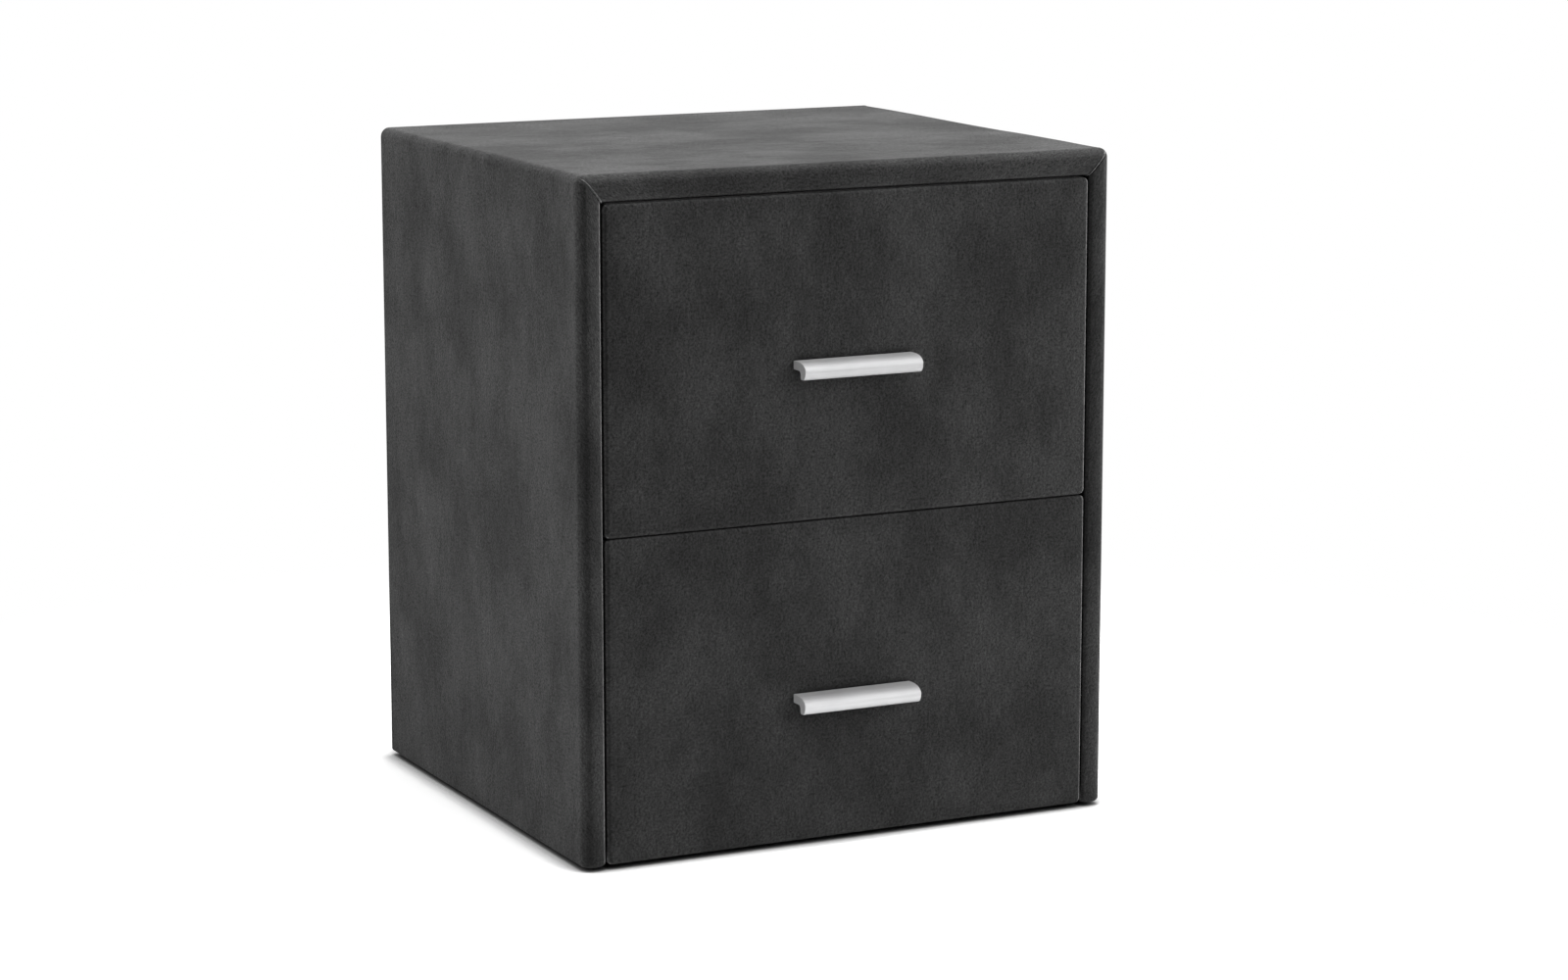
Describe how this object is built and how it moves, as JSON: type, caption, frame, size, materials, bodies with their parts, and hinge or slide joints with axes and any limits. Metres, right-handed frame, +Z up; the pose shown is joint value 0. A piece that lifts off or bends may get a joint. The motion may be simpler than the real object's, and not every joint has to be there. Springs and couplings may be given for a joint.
{
  "type": "nightstand with drawers",
  "caption": "Square-edged nightstand padded in grey velvet, with stacked drawers on ball-bearing slides behind flush fronts, each with a short lipped metal bar handle.",
  "frame": {"origin": "on the floor, under the middle of the footprint with the handles", "axes": "+Z up, -Y towards the drawer fronts and the user, +X to the right as the user looks at the fronts"},
  "size_m": [0.45, 0.424, 0.525],
  "materials": {
    "velvet": "dark grey short-pile velvet that brightens at grazing angles",
    "foam": "thin open-cell upholstery foam",
    "fibreboard": "raw medium-density fibreboard",
    "laminate": "particle board with dark grey laminate",
    "hardboard": "thin hardboard, painted dark grey",
    "beech": "beech dowel",
    "aluminium": "satin brushed aluminium",
    "zinc_steel": "zinc-plated steel",
    "bearing_steel": "polished bearing steel",
    "staple_wire": "galvanised wire",
    "rubber": "black rubber",
    "black_nylon": "black nylon"
  },
  "bodies": {
    "cabinet": {"top_board": "laminate", "bottom_board": "laminate", "back_panel": "hardboard", "top_foam": "foam", "carcass_cover": "velvet", "side_foam_left": "foam", "side_board_left": "laminate", "side_foam_right": "foam", "side_board_right": "laminate", "lower_rail_left": "zinc_steel", "lower_rail_right": "zinc_steel", "upper_rail_left": "zinc_steel", "upper_rail_right": "zinc_steel", "rail_bumpers": "rubber", "carcass_screws": "zinc_steel", "carcass_dowels": "beech", "frame_staples": "staple_wire", "rail_screws": "zinc_steel", "glides": "black_nylon"},
    "upper_drawer": {"upper_front_board": "fibreboard", "upper_front_foam": "foam", "upper_front_cover": "velvet", "upper_inner_front": "laminate", "upper_box_back": "laminate", "upper_box_side_left": "laminate", "upper_box_side_right": "laminate", "upper_box_bottom": "hardboard", "upper_handle": "aluminium", "upper_runner_left": "zinc_steel", "upper_runner_right": "zinc_steel", "upper_front_staples": "staple_wire", "upper_box_screws": "zinc_steel", "upper_front_screws": "zinc_steel", "upper_handle_screws": "zinc_steel", "upper_runner_screws": "zinc_steel"},
    "lower_drawer": {"lower_front_board": "fibreboard", "lower_front_foam": "foam", "lower_front_cover": "velvet", "lower_inner_front": "laminate", "lower_box_back": "laminate", "lower_box_side_left": "laminate", "lower_box_side_right": "laminate", "lower_box_bottom": "hardboard", "lower_handle": "aluminium", "lower_runner_left": "zinc_steel", "lower_runner_right": "zinc_steel", "lower_front_staples": "staple_wire", "lower_box_screws": "zinc_steel", "lower_front_screws": "zinc_steel", "lower_handle_screws": "zinc_steel", "lower_runner_screws": "zinc_steel"},
    "upper_cage_left": {"upper_cage_left": "zinc_steel", "upper_balls_left": "bearing_steel"},
    "upper_cage_right": {"upper_cage_right": "zinc_steel", "upper_balls_right": "bearing_steel"},
    "lower_cage_left": {"lower_cage_left": "zinc_steel", "lower_balls_left": "bearing_steel"},
    "lower_cage_right": {"lower_cage_right": "zinc_steel", "lower_balls_right": "bearing_steel"}
  },
  "joints": [
    {"name": "upper_drawer_slide", "type": "slide", "parent": "cabinet", "child": "upper_drawer", "axis": [0, -1, 0], "range_m": [0, 0.26]},
    {"name": "lower_drawer_slide", "type": "slide", "parent": "cabinet", "child": "lower_drawer", "axis": [0, -1, 0], "range_m": [0, 0.26]},
    {"name": "upper_cage_left_slide", "type": "slide", "parent": "cabinet", "child": "upper_cage_left", "axis": [0, -1, 0], "range_m": [0, 0.13]},
    {"name": "upper_cage_right_slide", "type": "slide", "parent": "cabinet", "child": "upper_cage_right", "axis": [0, -1, 0], "range_m": [0, 0.13]},
    {"name": "lower_cage_left_slide", "type": "slide", "parent": "cabinet", "child": "lower_cage_left", "axis": [0, -1, 0], "range_m": [0, 0.13]},
    {"name": "lower_cage_right_slide", "type": "slide", "parent": "cabinet", "child": "lower_cage_right", "axis": [0, -1, 0], "range_m": [0, 0.13]}
  ],
  "couplings": [
    {"joint": "upper_cage_left_slide", "follows": "upper_drawer_slide", "ratio": 0.5},
    {"joint": "upper_cage_right_slide", "follows": "upper_drawer_slide", "ratio": 0.5},
    {"joint": "lower_cage_left_slide", "follows": "lower_drawer_slide", "ratio": 0.5},
    {"joint": "lower_cage_right_slide", "follows": "lower_drawer_slide", "ratio": 0.5}
  ]
}
